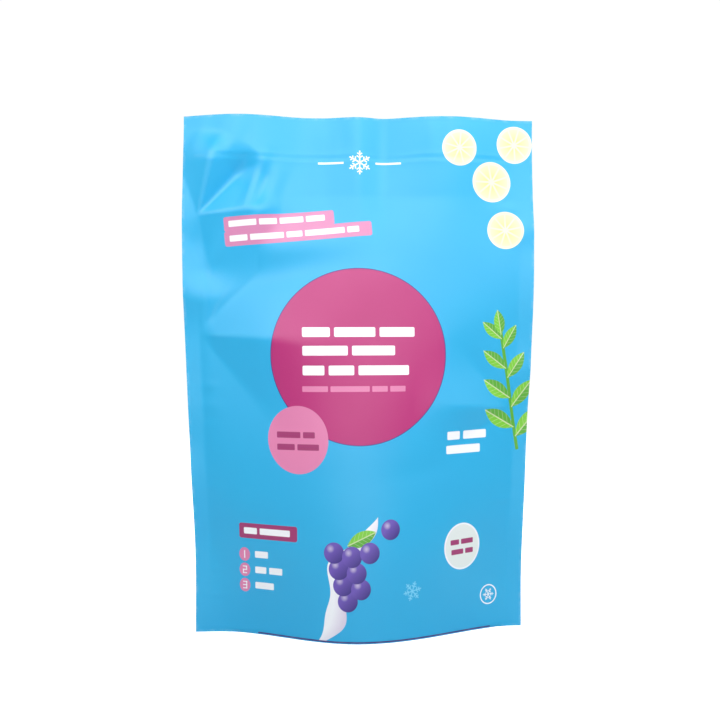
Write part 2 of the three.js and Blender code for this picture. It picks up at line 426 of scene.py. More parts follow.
class Sheet:
    """One ply of film as a Blender object: a closed thin sheet with its print map and its finishes."""

    sharp_turn = 50
    outer_width = 0.836
    inner_start = 0.85
    inner_width = 0.1
    rim_start = 0.958
    rim_width = 0.007
    rim_pitch = 0.01

    def __init__(self, name: str, outer: Grid, inner: Grid, flipped: bool) -> None:
        """Makes the mesh from two grids of points.

        Args:
            name: name of the piece.
            outer: points of the outer face in millimetres, in rows and columns.
            inner: points of the inner face, in the same rows and columns.
            flipped: True where the outer grid would face inwards.
        """
        self.rows, self.columns = outer.shape[:2]
        points = np.concatenate([outer.reshape(-1, 3), inner.reshape(-1, 3)]) * METRES
        faces = sheet_faces(self.rows, self.columns, flipped)
        self.rim_count = 2 * (self.rows + self.columns) - 4
        self.mesh = bpy.data.meshes.new(name)
        self.mesh.vertices.add(len(points))
        self.mesh.vertices.foreach_set("co", points.ravel())
        self.mesh.loops.add(faces.size)
        self.mesh.loops.foreach_set("vertex_index", faces.ravel())
        self.mesh.polygons.add(len(faces))
        self.mesh.polygons.foreach_set("loop_start", np.arange(0, faces.size, 4))
        self.mesh.update(calc_edges=True)
        self.mesh.validate()
        self.mesh.shade_smooth()
        self.mesh.set_sharp_from_angle(angle=math.radians(self.sharp_turn))
        self.faces = faces
        self.piece = bpy.data.objects.new(name, self.mesh)
        bpy.context.scene.collection.objects.link(self.piece)

    def write_map(self, name: str, corners: Grid) -> None:
        """Adds a map with a place for each corner of each face."""
        self.mesh.uv_layers.new(name=name).data.foreach_set("uv", corners.ravel())

    def map_print(self, across: Grid, up: Grid) -> None:
        """Writes the print map, in metres across the film from its middle and up from its foot."""
        place = np.stack([across.ravel(), up.ravel()], axis=-1) * METRES
        self.write_map(PRINT_MAP, np.concatenate([place, place])[self.faces])

    def map_bake(self) -> None:
        """Writes a map without overlaps: the outer face wide, the inner one narrow, the rim in columns."""
        share = np.linspace(0, 1, self.columns)
        across, up = np.meshgrid(share, np.linspace(1 - BAKE_MARGIN, BAKE_MARGIN, self.rows))
        outer = np.stack([BAKE_MARGIN + self.outer_width * across, up], axis=-1)
        inner = np.stack([self.inner_start + self.inner_width * across, up], axis=-1)
        corners = np.concatenate([outer.reshape(-1, 2), inner.reshape(-1, 2)])[self.faces]
        steps = math.ceil(self.rim_count / RIM_COLUMNS)
        column, step = np.divmod(np.arange(self.rim_count), steps)
        height = (1 - 2 * BAKE_MARGIN) / steps
        left, low = self.rim_start + self.rim_pitch * column, BAKE_MARGIN + height * step
        right, high = left + self.rim_width, low + height
        ladder = [(left, low), (right, low), (right, high), (left, high)]
        corners[-self.rim_count :] = np.array(ladder).transpose(2, 0, 1)
        self.write_map(BAKE_MAP, corners)

    def finish(self, bend: Grid, film: Material, cut_edge: Material) -> "Sheet":
        """Writes the bake map and the creases, dresses the faces and rim, and stands in for the solid.

        Args:
            bend: how hard the film is bent, from 0 to 1, in rows and columns.
            film: finish of both faces.
            cut_edge: finish of the rim.

        Returns:
            The sheet itself.
        """
        self.map_bake()
        layer = self.mesh.attributes.new(CREASE_ATTRIBUTE, "FLOAT", "POINT")
        layer.data.foreach_set("value", np.concatenate([bend.ravel(), bend.ravel()]))
        self.mesh.materials.append(film)
        self.mesh.materials.append(cut_edge)
        index = np.zeros(len(self.faces), dtype=np.int32)
        index[-self.rim_count :] = 1
        self.mesh.polygons.foreach_set("material_index", index)
        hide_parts(CAD_NODE)
        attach(self.piece, "root")
        return self


@dataclass
class Panel:
    """One printed panel of film, from the top edge down to the rim that it stands on."""

    form: PouchForm
    side: Side
    columns: int = 173
    rows: int = 262
    hem: float = 1.6
    hem_tuck: float = 0.7

    def grid(self) -> tuple[Grid, Grid]:
        """Flat places and heights, evenly spaced, in rows from the top down.

        Returns:
            Two grids in millimetres: places across, and heights.
        """
        half = self.form.film_width / 2
        across = np.linspace(-half, half, self.columns)
        up = np.linspace(self.form.height, 0, self.rows)
        return np.meshgrid(across, up)

    def points(self, sunk: float) -> Grid:
        """Points of the panel, drawn in at the hem where the film curls under: tuck times t squared.

        Args:
            sunk: distance below the outer face.

        Returns:
            Points in millimetres.
        """
        flat, z = self.grid()
        points = self.form.panel(flat, z, self.side, sunk)
        curl = np.clip(1 - z / self.hem, 0, 1) ** 2
        free = np.abs(points[..., 1]) > self.form.seal_thickness + self.hem_tuck
        points[..., 1] -= self.side.value * self.hem_tuck * curl * free
        return points

    def build(self, name: str, film: Material, cut_edge: Material) -> Sheet:
        """Makes, maps and dresses the panel.

        Args:
            name: name of the piece.
            film: printed finish.
            cut_edge: finish of the rim.

        Returns:
            The finished sheet.
        """
        flat, z = self.grid()
        outer = self.points(0)
        inner = self.points(self.form.ply_thickness)
        sheet = Sheet(name, outer, inner, flipped=self.side is Side.BACK)
        sheet.map_print(-self.side.value * flat, z)
        return sheet.finish(self.form.creasing(flat, z, self.side), film, cut_edge)


@dataclass
class Gusset:
    """The folded strip of film between the skirts: up inside one skirt, across, and down the other."""

    form: PouchForm
    seam: float = 3.6
    rest: float = 40
    rest_share: float = 0.4
    tuck: float = 11
    tuck_at: float = 68
    columns: int = 150
    skirt_rows: int = 6
    floor_rows: int = 48
    clearance: float = 0.12
    least_gap: float = 0.5
    seam_crease: float = 1.2

    def reach(self) -> float:
        """Flat distance from the middle to where the skirts leave just enough room for the strip.

        Returns:
            The distance in millimetres.
        """
        flat = np.linspace(0, self.form.film_width / 2, 400)
        rim = np.zeros_like(flat)
        front, back = ([self.form.panel(flat * way, rim, side)[:, 1] for way in (-1, 1)] for side in Side)
        room = np.min(np.subtract(back, front), axis=0) - 4 * self.form.ply_thickness
        return float(flat[room > self.least_gap].max())

    def lift(self, x: Grid, share: Grid) -> Grid:
        """Height of the strip: from its seam down to the floor, and up again where the ends tuck in.

        Args:
            x: places across the pouch.
            share: places between the skirts, from -1 at the front to 1 at the back.

        Returns:
            Heights in millimetres.
        """
        tucked = self.tuck * ramp(np.abs(x), self.rest, self.tuck_at)
        rise = ramp(np.abs(share), self.rest_share, 1)
        return tucked + (self.seam - tucked) * rise

    def points(self, raised: float) -> Grid:
        """Points of the strip, in rows from the front rim to the back rim.

        Args:
            raised: distance above the strip's lower face.

        Returns:
            Points in millimetres.
        """
        flat = np.linspace(-self.reach(), self.reach(), self.columns)
        up = np.linspace(0, self.seam, self.skirt_rows, endpoint=False)
        inset = 2 * self.form.ply_thickness + self.clearance - raised
        walls = [self.form.panel(*np.meshgrid(flat, up), side, inset) for side in Side]
        level = np.full_like(flat, self.seam)
        front, back = (self.form.panel(flat, level, side, inset) for side in Side)
        share = np.linspace(-1, 1, self.floor_rows)[:, None]
        between = front + (back - front) * (share[..., None] + 1) / 2
        between[..., 2] = self.lift(front[:, 0], share) + raised
        return np.concatenate([walls[0], between, walls[1][::-1]])

    def build(self, name: str, film: Material, cut_edge: Material) -> Sheet:
        """Makes, maps and dresses the strip.

        Args:
            name: name of the piece.
            film: plain finish.
            cut_edge: finish of the rim.

        Returns:
            The finished sheet.
        """
        lower = self.points(0)
        upper = self.points(self.form.ply_thickness)
        sheet = Sheet(name, lower, upper, flipped=False)
        travel = np.cumsum(np.linalg.norm(np.diff(lower, axis=0, prepend=lower[:1]), axis=-1), axis=0)
        sheet.map_print(lower[..., 0], -travel)
        return sheet.finish(bump(lower[..., 2], self.seam, self.seam_crease), film, cut_edge)


class Ink(Enum):
    """Printed colours, as red, green and blue in sRGB."""

    BLUE = (18, 172, 224)
    MAGENTA = (180, 24, 114)
    PINK = (220, 126, 172)
    ROSE = (212, 132, 176)
    PLUM = (158, 40, 106)
    WHITE = (244, 246, 250)
    PALE = (226, 234, 232)
    ICE = (120, 210, 245)
    CREAM = (240, 236, 206)
    YELLOW = (232, 226, 132)
    GREEN = (122, 200, 48)
    LEAF = (86, 168, 42)
    VIOLET = (104, 78, 178)
    NIGHT = (56, 34, 128)
    LILAC = (222, 212, 230)

    def colour(self) -> tuple[float, float, float, float]:
        """The colour as linear red, green, blue and alpha."""
        shares = [part / 255 for part in self.value]
        return (*(s / 12.92 if s <= 0.04045 else ((s + 0.055) / 1.055) ** 2.4 for s in shares), 1.0)


class Term:
    """A value in a node graph. Reckoning with it adds Math nodes to that graph."""

    def __init__(self, graph: "Graph", socket: NodeSocket) -> None:
        """Keeps the graph, and the socket that gives the value."""
        self.graph = graph
        self.socket = socket

    def __add__(self, other: object) -> "Term":
        """This value plus another."""
        return self.do("ADD", other)

    def __sub__(self, other: object) -> "Term":
        """This value less another."""
        return self.do("SUBTRACT", other)

    def __rsub__(self, other: float) -> "Term":
        """A number less this value."""
        return self.graph.math("SUBTRACT", other, self)

    def __mul__(self, other: object) -> "Term":
        """This value times another."""
        return self.do("MULTIPLY", other)

    def __truediv__(self, other: object) -> "Term":
        """This value over another."""
        return self.do("DIVIDE", other)

    def __abs__(self) -> "Term":
        """This value without its sign."""
        return self.do("ABSOLUTE")

    def do(self, operation: str, *others: object) -> "Term":
        """The result of a Math node of this value and others."""
        return self.graph.math(operation, self, *others)

    def fade(self, low: float, high: float) -> "Term":
        """A clamped Map Range of this value, from 0 at low to 1 at high."""
        return self.graph.output(self.graph.add("ShaderNodeMapRange", self, low, high, 0.0, 1.0))


Layer = tuple[Term, Term]


class Graph:
    """A node tree, with short ways to add nodes to it."""

    def __init__(self, tree: NodeTree) -> None:
        """Keeps the tree that nodes are added to."""
        self.tree = tree

    def add(self, kind: str, *values: object, **settings: object) -> Node:
        """Adds a node.

        Args:
            kind: the node's type name.
            values: its inputs in order.
            settings: values for the node's own properties.

        Returns:
            The new node.
        """
        node = self.tree.nodes.new(kind)
        for key, value in settings.items():
            setattr(node, key, value)
        for value, socket in zip(values, node.inputs):
            self.put(value, socket)
        return node

    def put(self, value: object, socket: NodeSocket) -> None:
        """Links a term to an input, or sets the input's own value.

        Args:
            value: a term, a number or a tuple of numbers.
            socket: the input.
        """
        if isinstance(value, Term):
            self.tree.links.new(value.socket, socket)
        else:
            socket.default_value = value

    def fill(self, node: Node, **values: object) -> Node:
        """Sets a node's inputs by their names.

        Args:
            node: the node.
            values: its inputs, with an underscore for each space of their names.

        Returns:
            The node.
        """
        for name, value in values.items():
            self.put(value, node.inputs[name.replace("_", " ")])
        return node

    def output(self, node: Node, key: int | str = 0) -> Term:
        """One of a node's outputs, by its number or name."""
        return Term(self, node.outputs[key])

    def math(self, operation: str, *values: object) -> Term:
        """The result of a Math node."""
        return self.output(self.add("ShaderNodeMath", *values, operation=operation))

    def vector(self, operation: str, *values: object, key: str = "Vector") -> Term:
        """The result of a Vector Math node, which is a vector or the value that key names."""
        return self.output(self.add("ShaderNodeVectorMath", *values, operation=operation), key)

    def root(self, first: Term, second: Term) -> Term:
        """The square root of the sum of two squares."""
        return (first * first + second * second).do("SQRT")

    def noise(self, place: Term, scale: float, detail: float = 2.0) -> Term:
        """The value of a Noise texture, about 0.5 on average."""
        return self.output(self.add("ShaderNodeTexNoise", place, 0.0, scale, detail))

    def blend(self, share: object, low: object, high: object, way: str = "MIX") -> Term:
        """Adds a colour Mix node.

        Args:
            share: how much of the second colour shows.
            low: first colour.
            high: second colour.
            way: its blend type.

        Returns:
            The mixed colour.
        """
        node = self.add("ShaderNodeMix", share, data_type="RGBA", blend_type=way)
        self.put(low, node.inputs[6])
        self.put(high, node.inputs[7])
        return self.output(node, 2)


def new_group(name: str, outputs: dict[str, str], inputs: dict[str, str]) -> tuple[Graph, dict[str, Term]]:
    """Makes a node group that has its sockets and no other node.

    Args:
        name: its name.
        outputs: kind of each output, by name.
        inputs: kind of each input, by name.

    Returns:
        Its graph, and its inputs by name.
    """
    tree = bpy.data.node_groups.new(name, "ShaderNodeTree")
    for way, sockets in (("OUTPUT", outputs), ("INPUT", inputs)):
        for socket, kind in sockets.items():
            tree.interface.new_socket(name=socket, in_out=way, socket_type="NodeSocket" + kind)
    graph = Graph(tree)
    given = graph.add("NodeGroupInput")
    return graph, {socket: graph.output(given, socket) for socket in inputs}


def new_material(name: str) -> tuple[Material, Graph, Node]:
    """Makes a material with one Principled shader.

    Args:
        name: its name.

    Returns:
        The material, its graph and its shader.
    """
    material = bpy.data.materials.new(name)
    material.use_nodes = True
    return material, Graph(material.node_tree), material.node_tree.nodes["Principled BSDF"]


class Shape(Enum):
    """Plain shapes that the print is made of."""

    DISC = "print disc"
    BAR = "print bar"
    RING = "print ring"
    FLAKE = "print flake"
    SLICE = "print slice"
    BERRY = "print berry"
    LEAF = "print leaf"
    RIBBON = "print ribbon"


class Stencil:
    """The node group that lays one shape over what is printed so far.

    Each shape has a method, which gives a layer, its mask and its colour, from the place on the shape:
    x and y in millimetres along its two axes, and u, v and the distance from its middle in half sizes.
    """

    edge = 0.1
    corner = 0.3
    ring_hole = 0.88
    arm_half = 0.055
    twig_half = 0.05
    twigs = ((0.42, 0.3), (0.68, 0.24))
    ribs = 9
    rib_half = 0.045
    core = 0.13
    flesh = 0.84

    def __init__(self, shape: Shape) -> None:
        """Builds the group.

        Args:
            shape: what it lays.
        """
        kinds = dict.fromkeys(("Place", "Centre", "Along", "Beside"), "Vector")
        kinds |= dict.fromkeys(("Half Width", "Half Height"), "Float")
        kinds |= dict.fromkeys(("Paper", "Ink", "Second Ink"), "Color")
        self.graph, given = new_group(shape.value, {"Paper": "Color"}, kinds)
        self.ink, self.second = given["Ink"], given["Second Ink"]
        self.wide, self.tall = given["Half Width"], given["Half Height"]
        moved = self.graph.vector("SUBTRACT", given["Place"], given["Centre"])
        self.x = self.graph.vector("DOT_PRODUCT", moved, given["Along"], key="Value")
        self.y = self.graph.vector("DOT_PRODUCT", moved, given["Beside"], key="Value")
        self.u, self.v = self.x / self.wide, self.y / self.tall
        self.distance = self.graph.root(self.u, self.v)
        mask, colour = getattr(self, shape.name.lower())()
        self.graph.add("NodeGroupOutput", self.graph.blend(mask, given["Paper"], colour))

    def cut(self, gap: Term) -> Term:
        """Mask that is 1 where a gap in millimetres is above 0, with a fine soft edge."""
        return gap.fade(-self.edge, self.edge)

    def inside(self, distance: Term, limit: float = 1.0) -> Term:
        """Mask that is 1 where a distance in half widths is under a limit."""
        return self.cut((limit - distance) * self.wide)

    def folded(self, wedges: int) -> Term:
        """Angle round the middle, folded back and forth into wedges of pi over their number."""
        return self.v.do("ARCTAN2", self.u).do("PINGPONG", math.pi / wedges)

    def disc(self) -> Layer:
        """An oval: inside where the distance from the middle is under 1."""
        return self.inside(self.distance), self.ink

    def bar(self) -> Layer:
        """A bar with rounded corners: the corner's radius, less the distance outside a smaller box.

        Returns:
            Its mask and its ink.
        """
        radius = self.wide.do("MINIMUM", self.tall) * self.corner
        across = (abs(self.x) - self.wide + radius).do("MAXIMUM", 0.0)
        above = (abs(self.y) - self.tall + radius).do("MAXIMUM", 0.0)
        return self.cut(radius - self.graph.root(across, above)), self.ink

    def ring(self) -> Layer:
        """A thin ring: inside the half width and outside its hole."""
        return self.inside(self.distance) - self.inside(self.distance, self.ring_hole), self.ink

    def flake(self) -> Layer:
        """A six-armed flake: the plane folded into one twelfth, with a straight arm and two twigs.

        Returns:
            Its mask and its ink.
        """
        angle = self.folded(6)
        along = self.distance * angle.do("COSINE")
        beside = self.distance * angle.do("SINE")
        mask = self.inside(beside, self.arm_half) * self.inside(along)
        for start, length in self.twigs:
            out = (along - start) * 0.5 + beside * 0.866
            off = (along - start) * 0.866 - beside * 0.5
            twig = self.inside(abs(off), self.twig_half) * self.inside(abs(out - length / 2), length / 2)
            mask = mask.do("MAXIMUM", twig)
        return mask, self.ink

    def slice(self) -> Layer:
        """A citrus slice: a pale round, and wedges of flesh between ribs that run to the middle.

        Returns:
            Its mask and its colour.
        """
        rib = self.distance * self.folded(self.ribs).do("SINE")
        ring = self.inside(self.distance, self.flesh) * (1.0 - self.inside(self.distance, self.core))
        flesh = (1.0 - self.inside(rib, self.rib_half)) * ring * self.distance.fade(1.1, 0.1)
        return self.inside(self.distance), self.graph.blend(flesh, self.ink, self.second)

    def berry(self) -> Layer:
        """A round berry: darker towards the lower right, with a soft bloom at the upper left.

        Returns:
            Its mask and its colour.
        """
        shade = self.graph.blend((self.u - self.v).fade(-0.5, 1.3), self.ink, self.second)
        bloom = self.graph.root(self.u + 0.35, self.v - 0.4).fade(0.42, 0.05) * 0.6
        return self.inside(self.distance), self.graph.blend(bloom, shade, Ink.LILAC.colour())

    def leaf(self) -> Layer:
        """A pointed leaf: inside where the height is under 1 - u squared, with a rib and slanted veins.

        Returns:
            Its mask and its colour.
        """
        height = abs(self.v)
        half = self.graph.blend(self.v.fade(-0.05, 0.05), self.second, self.ink)
        veins = (self.u - height * 0.35).do("PINGPONG", 0.14).fade(0.03, 0.0) * 0.35
        light = veins.do("MAXIMUM", height.fade(0.1, 0.04) * 0.6)
        mask = self.cut((1.0 - self.u * self.u - height) * self.tall)
        return mask, self.graph.blend(light, half, Ink.CREAM.colour())

    def ribbon(self) -> Layer:
        """A ribbon of cream: within a width of (1 - u squared) of a slow sine, shaded across its width.

        Returns:
            Its mask and its colour.
        """
        swell = (self.u * 9.0).do("SINE") * 0.18 + 0.66
        off = self.v - (self.u * 4.2 + 0.8).do("SINE") * 0.42
        mask = self.cut(((1.0 - self.u * self.u) * swell - abs(off)) * self.tall)
        return mask, self.graph.blend(off.fade(0.25, -0.5), self.ink, self.second)


@dataclass(frozen=True)
class Mark:
    """One shape of the print, or of painted shade.

    Attributes:
        shape: what it is.
        x: place of its middle across the film.
        y: place of its middle up the film.
        half_width: half its width before it is turned.
        half_height: half its height before it is turned.
        turn: angle in degrees, anticlockwise.
        ink: its main colour.
        second: its other colour, where the shape has one.
    """

    shape: Shape
    x: float
    y: float
    half_width: float
    half_height: float
    turn: float
    ink: Ink
    second: Ink = Ink.WHITE

    def lay(self, graph: Graph, stencil: NodeTree, place: Term, paper: object) -> Term:
        """Lays the mark over what is printed so far.

        Args:
            graph: the material's graph.
            stencil: the node group of its shape.
            place: the place on the film in millimetres.
            paper: colour that is printed so far.

        Returns:
            The colour with the mark on it.
        """
        cosine, sine = math.cos(math.radians(self.turn)), math.sin(math.radians(self.turn))
        node = graph.add("ShaderNodeGroup", node_tree=stencil)
        graph.fill(node, Paper=paper, Place=place, Centre=(self.x, self.y, 0.0))
        graph.fill(node, Half_Width=self.half_width, Half_Height=self.half_height)
        graph.fill(node, Along=(cosine, sine, 0.0), Beside=(-sine, cosine, 0.0))
        graph.fill(node, Ink=self.ink.colour(), Second_Ink=self.second.colour())
        return graph.output(node, "Paper")


STRIP_TURN = 4.7
WORD_GAP = 0.45
GRAPE_PITCH = 1.8
ROW_PITCH = 1.52
STAGGER = 0.12


def away(x: float, y: float, distance: float, turn: float) -> tuple[float, float]:
    """The place at a distance from another, in a direction in degrees."""
    return (x + distance * math.cos(math.radians(turn)), y + distance * math.sin(math.radians(turn)))


def word_bars(x: float, y: float, height: float, turn: float, ink: Ink, *lengths: float) -> list[Mark]:
    """A row of plain bars, laid end to end with even gaps from its left end.

    Args:
        x: place of the row's left end across the film.
        y: place of the row's middle line up the film, at its left end.
        height: height of the bars.
        turn: slope of the row in degrees.
        ink: colour of the bars.
        lengths: length of each bar.

    Returns:
        The row's marks.
    """
    marks = []
    travel = 0.0
    for length in lengths:
        place = away(x, y, travel + length / 2, turn)
        marks.append(Mark(Shape.BAR, *place, length / 2, height / 2, turn, ink))
        travel += length + WORD_GAP * height
    return marks


def bars(*rows: tuple) -> list[Mark]:
    """Several rows of plain bars, each given as word_bars takes it."""
    return [mark for row in rows for mark in word_bars(*row)]


def leaf(place: tuple[float, float], half_length: float, half_height: float, turn: float) -> Mark:
    """One green leaf."""
    return Mark(Shape.LEAF, *place, half_length, half_height, turn, Ink.GREEN, Ink.LEAF)


def berry(x: float, y: float, radius: float) -> Mark:
    """One violet grape."""
    return Mark(Shape.BERRY, x, y, radius, radius, 0, Ink.VIOLET, Ink.NIGHT)


def slices(*places: tuple[float, float, float, float]) -> list[Mark]:
    """Citrus slices, each at its x and y, with its radius and its turn."""
    return [Mark(Shape.SLICE, x, y, size, size, turn, Ink.CREAM, Ink.YELLOW) for x, y, size, turn in places]


def sprig(x: float, y: float, length: float, turn: float, pairs: int) -> list[Mark]:
    """A leafy sprig: a straight stem with pairs of leaves that get smaller towards its tip.

    Args:
        x: place of the stem's foot across the film.
        y: place of the stem's foot up the film.
        length: length of the stem.
        turn: direction of the stem in degrees.
        pairs: number of pairs of leaves.

    Returns:
        The sprig's marks.
    """
    marks = [Mark(Shape.BAR, *away(x, y, length / 2, turn), length / 2, 0.9, turn, Ink.LEAF)]
    for step in range(pairs):
        share = (step + 0.6) / pairs
        size = 10.5 - 4 * share
        for way in (-1, 1):
            lean = turn + way * (52 - 14 * share)
            foot = away(x, y, (share + 0.04 * way) * length, turn)
            marks.append(leaf(away(*foot, size, lean), size, 0.42 * size, lean))
    marks.append(leaf(away(x, y, length + 5, turn), 6.5, 2.9, turn))
    return marks


def grape_bunch(x: float, y: float, radius: float, *rows: int) -> list[Mark]:
    """A hanging bunch of round grapes under one leaf, with every second row moved aside a little.

    Args:
        x: place of the bunch's middle line across the film.
        y: place of its top row up the film.
        radius: radius of a grape.
        rows: number of grapes in each row from the top down.

    Returns:
        The bunch's marks.
    """
    marks = [leaf((x + 1.2 * radius, y + 1.5 * radius), 1.6 * radius, 0.7 * radius, 24)]
    for row in reversed(range(len(rows))):
        for place in range(rows[row]):
            across = x + (place - (rows[row] - 1) / 2 + STAGGER * (-1) ** row) * GRAPE_PITCH * radius
            up = y - ROW_PITCH * row * radius + 1.5 * STAGGER * radius * (-1) ** place
            marks.append(berry(across, up, radius))
    return marks


def digit(number: int, x: float, y: float, half_height: float) -> list[Mark]:
    """A plain number of straight strokes, as on a clock with seven strokes to a number.

    Args:
        number: 1, 2 or 3.
        x: place of its middle across the film.
        y: place of its middle up the film.
        half_height: half its height.

    Returns:
        Its marks.
    """
    half = 0.5 * half_height
    thick = 0.16 * half_height
    top, middle, foot = ((0, up, 1, 0) for up in (1, 0, -1))
    strokes = {
        1: ((0, 0, 0, 1),),
        2: (top, (1, 0.5, 0, 0.5), middle, (-1, -0.5, 0, 0.5), foot),
        3: (top, middle, foot, (1, 0, 0, 1)),
    }
    marks = []
    for across, up, wide, tall in strokes[number]:
        size = (wide * half + thick, tall * half_height + thick)
        marks.append(Mark(Shape.BAR, x + across * half, y + up * half_height, *size, 0, Ink.WHITE))
    return marks


def front_print() -> list[Mark]:
    """The front panel's print, from the lowest layer up, with a painted shade line along its foot.

    Returns:
        Its marks.
    """
    marks = [Mark(Shape.RIBBON, -11, 30, 37, 9, 66, Ink.WHITE, Ink.LILAC)]
    marks += grape_bunch(-7.5, 44, 5.2, 3, 2, 2, 1)
    marks.append(berry(14, 56, 5))
    marks += slices((51, 246, 9, 5), (68, 229.5, 10.2, 20), (80.5, 249, 9.4, 33), (75, 205, 9.6, 12))
    marks += sprig(85, 92, 62, 101, 4)
    marks += [
        Mark(Shape.DISC, -1.4, 141, 45.0, 44.2, 0, Ink.NIGHT),
        Mark(Shape.DISC, -1.4, 141, 44.6, 43.8, 0, Ink.MAGENTA),
        Mark(Shape.DISC, -33.2, 99.6, 15.4, 16.8, 0, Ink.PINK),
        Mark(Shape.BAR, -31.4, 202.4, 37.2, 3.65, STRIP_TURN, Ink.ROSE),
        Mark(Shape.BAR, -41.1, 208.8, 27.8, 3.65, STRIP_TURN, Ink.ROSE),
        Mark(Shape.BAR, -50.1, 53.2, 15.4, 3.85, -0.7, Ink.PLUM),
        Mark(Shape.DISC, 54.4, 44.6, 10.4, 11.9, 0, Ink.WHITE),
        Mark(Shape.DISC, 54.4, 44.6, 9.6, 11.1, 0, Ink.PALE),
        Mark(Shape.FLAKE, -0.3, 238.6, 6, 6, 30, Ink.WHITE),
        Mark(Shape.RING, 70.8, 17.7, 5, 5.2, 0, Ink.WHITE),
        Mark(Shape.FLAKE, 70.8, 17.7, 3.2, 3.4, 0, Ink.WHITE),
        Mark(Shape.FLAKE, 26, 25, 5, 5, 12, Ink.ICE),
        # Painted shade: a thin dark bar along the foot that stands in for the shadow where the film curls
        # under its bowed lower edge. It is not print.
        Mark(Shape.BAR, 8, 0, 64, 1.3, 0, Ink.NIGHT),
    ]
    marks += front_rows()
    for row, lengths in enumerate(((7,), (6, 7), (10,))):
        y = 41.1 - 8 * row
        marks.append(Mark(Shape.DISC, -63, y, 2.9, 3.5, 0, Ink.PINK))
        marks += digit(row + 1, -63, y, 1.7)
        marks += word_bars(-57.4, y + 0.3, 3.4, 0, Ink.WHITE, *lengths)
    return marks


def front_rows() -> list[Mark]:
    """Rows of plain bars that keep the weight of the front panel's rows.

    Returns:
        Their marks.
    """
    return bars(
        (-21.5, 238.6, 1, 0, Ink.WHITE, 13),
        (8, 238.6, 1, 0, Ink.WHITE, 13),
        (-66.5, 206.9, 3, STRIP_TURN, Ink.WHITE, 14, 9, 12, 9.5),
        (-66, 199.7, 3, STRIP_TURN, Ink.WHITE, 9, 17, 8, 20, 6),
        (-30.3, 153, 4.8, 0, Ink.WHITE, 14, 21, 18),
        (-30.3, 143.8, 4.8, 0, Ink.WHITE, 23, 22),
        (-30.3, 134, 4.8, 0, Ink.WHITE, 11, 13, 26),
        (-30.6, 124.8, 2.8, 0, Ink.PINK, 13, 20, 8, 8),
        (-44, 102, 3, 0, Ink.PLUM, 12, 6),
        (-44, 96, 3, 0, Ink.PLUM, 9, 11),
        (44.8, 100.6, 4.2, 1.5, Ink.WHITE, 7, 13),
        (44.4, 93.5, 4.2, 1.5, Ink.WHITE, 19),
        (-63, 53.4, 3.2, -0.7, Ink.WHITE, 7, 16),
        (47.6, 46.8, 2.6, 2, Ink.PLUM, 5, 7),
        (48.2, 41.8, 2.6, 2, Ink.PLUM, 7, 4.6),
    )


def back_print() -> list[Mark]:
    """The back panel's print: a disc, a bare pale panel, rows of bars and a few of the front's motifs.

    Returns:
        Its marks.
    """
    marks = [Mark(Shape.RIBBON, -52, 26, 32, 8, 118, Ink.WHITE, Ink.LILAC)]
    marks += grape_bunch(-50, 36, 5, 3, 3, 2, 1)
    marks += slices((-66, 238, 10, 8), (-48, 228, 8.6, 25), (66, 40, 9.6, 14))
    marks.append(Mark(Shape.DISC, 0, 190, 31, 31, 0, Ink.MAGENTA))
    marks.append(Mark(Shape.FLAKE, 0, 190, 17, 17, 30, Ink.WHITE))
    marks.append(Mark(Shape.BAR, 30, 104, 38, 33, 0, Ink.PALE))
    for row in range(7):
        lengths = (22, 9, 14) if row % 2 else (12, 20, 8)
        marks += word_bars(-1, 130 - 8.4 * row, 2.6, 0, Ink.PLUM, *lengths)
    for row, lengths in enumerate(((22, 8), (13, 16), (19, 7))):
        y = 132 - 15 * row
        marks.append(Mark(Shape.DISC, -64, y, 5, 5, 0, Ink.PINK))
        marks += word_bars(-55, y, 3.6, 0, Ink.WHITE, *lengths)
    marks += sprig(70, 176, 34, 96, 3)
    marks.append(Mark(Shape.RING, -62, 66, 7, 7, 0, Ink.WHITE))
    return marks


@dataclass(frozen=True)
class FilmEffects:
    """Node groups that every film finish uses: its grain, its worn edges and its bent creases."""

    grain_pitch: float = 1.3
    cloud_pitch: float = 34
    scuff_pitch: float = 5
    worn_border: float = 1.6
    crease_wear: float = 0.12

    def grain(self) -> NodeTree:
        """Orange-peel grain of matt laminate, and slow clouds of sheen over the panel.

        Returns:
            A group with a Place input and Height and Cloud outputs.
        """
        graph, given = new_group("film grain", {"Height": "Float", "Cloud": "Float"}, {"Place": "Vector"})
        fine = graph.noise(given["Place"], 1 / self.grain_pitch)
        cloud = graph.noise(given["Place"], 1 / self.cloud_pitch, 3.0)
        graph.add("NodeGroupOutput", fine, cloud.fade(0.3, 0.7))
        return graph.tree

    def wear(self) -> NodeTree:
        """Scuffed edges: noise that shows within a few millimetres of the film's edges and on creases.

        Returns:
            A group with Place, Half Width, Height and Crease inputs and a Mask output.
        """
        kinds = {"Place": "Vector", "Half Width": "Float", "Height": "Float", "Crease": "Float"}
        graph, given = new_group("edge wear", {"Mask": "Float"}, kinds)
        at = graph.add("ShaderNodeSeparateXYZ", given["Place"])
        up = graph.output(at, "Y")
        sides = given["Half Width"] - abs(graph.output(at, "X"))
        ends = (given["Height"] - up).do("MINIMUM", abs(up))
        near = sides.do("MINIMUM", ends).fade(self.worn_border, 0.1)
        spots = graph.noise(given["Place"], 1 / self.scuff_pitch, 5.0).fade(0.45, 0.68)
        bent = given["Crease"].fade(0.5, 1.0) * self.crease_wear
        graph.add("NodeGroupOutput", (near * spots).do("MAXIMUM", bent))
        return graph.tree


